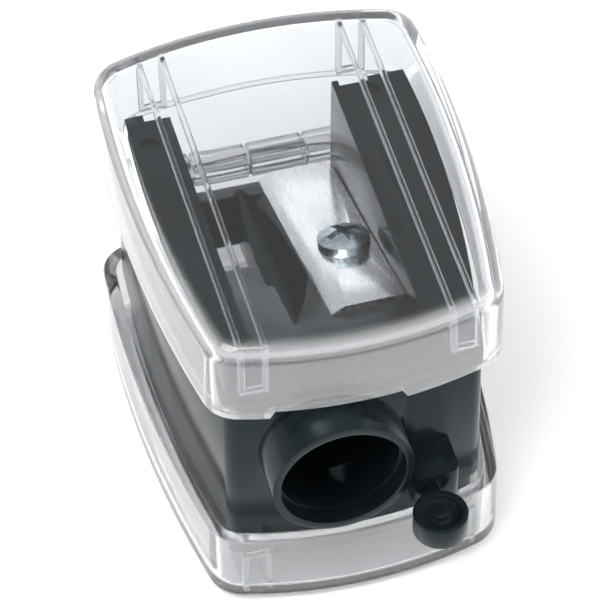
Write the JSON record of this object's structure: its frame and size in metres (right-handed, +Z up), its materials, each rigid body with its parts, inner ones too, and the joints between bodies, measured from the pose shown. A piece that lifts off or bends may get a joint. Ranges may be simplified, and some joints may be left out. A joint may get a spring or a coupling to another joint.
{
  "type": "pencil sharpener",
  "caption": "Container sharpener for thick pencils: black body with a steel blade between clear hinged covers, with a collared pencil hole and a pull-out cleaning tool.",
  "frame": {"origin": "centre of the underside of the whole part's box, on the plane the lower cover rests on", "axes": "+Z up, +Y towards the hinge at the back; the pencil goes in along +Y"},
  "size_m": [0.0336, 0.0536, 0.0369],
  "materials": {
    "black_plastic": "glossy moulded",
    "black_plastic_core": "glossy moulded",
    "black_plastic_tool": "satin moulded",
    "blade_steel": "ground and polished",
    "zinc_steel": "zinc plated",
    "clear_plastic_pin": "clear moulded",
    "clear_plastic": "clear moulded"
  },
  "bodies": {
    "base": {"housing": "black_plastic", "sharpening_core": "black_plastic_core", "blade": "blade_steel", "blade_screw": "zinc_steel", "hinge_pin": "clear_plastic_pin"},
    "top_cover": {"upper_cover": "clear_plastic"},
    "bottom_cover": {"lower_cover": "clear_plastic"},
    "tool": {"cleaning_tool": "black_plastic_tool"}
  },
  "joints": [
    {"name": "upper_cover_hinge", "type": "hinge", "parent": "base", "child": "top_cover", "pos_m": [0, 0.02552, 0.01663], "axis": [-1, 0, 0], "range_deg": [0, 90]},
    {"name": "lower_cover_hinge", "type": "hinge", "parent": "base", "child": "bottom_cover", "pos_m": [0, 0.02552, 0.01663], "axis": [1, 0, 0], "range_deg": [0, 90]},
    {"name": "cleaning_tool_slide", "type": "slide", "parent": "base", "child": "tool", "axis": [0, -1, 0], "range_m": [0, 0.018]}
  ]
}
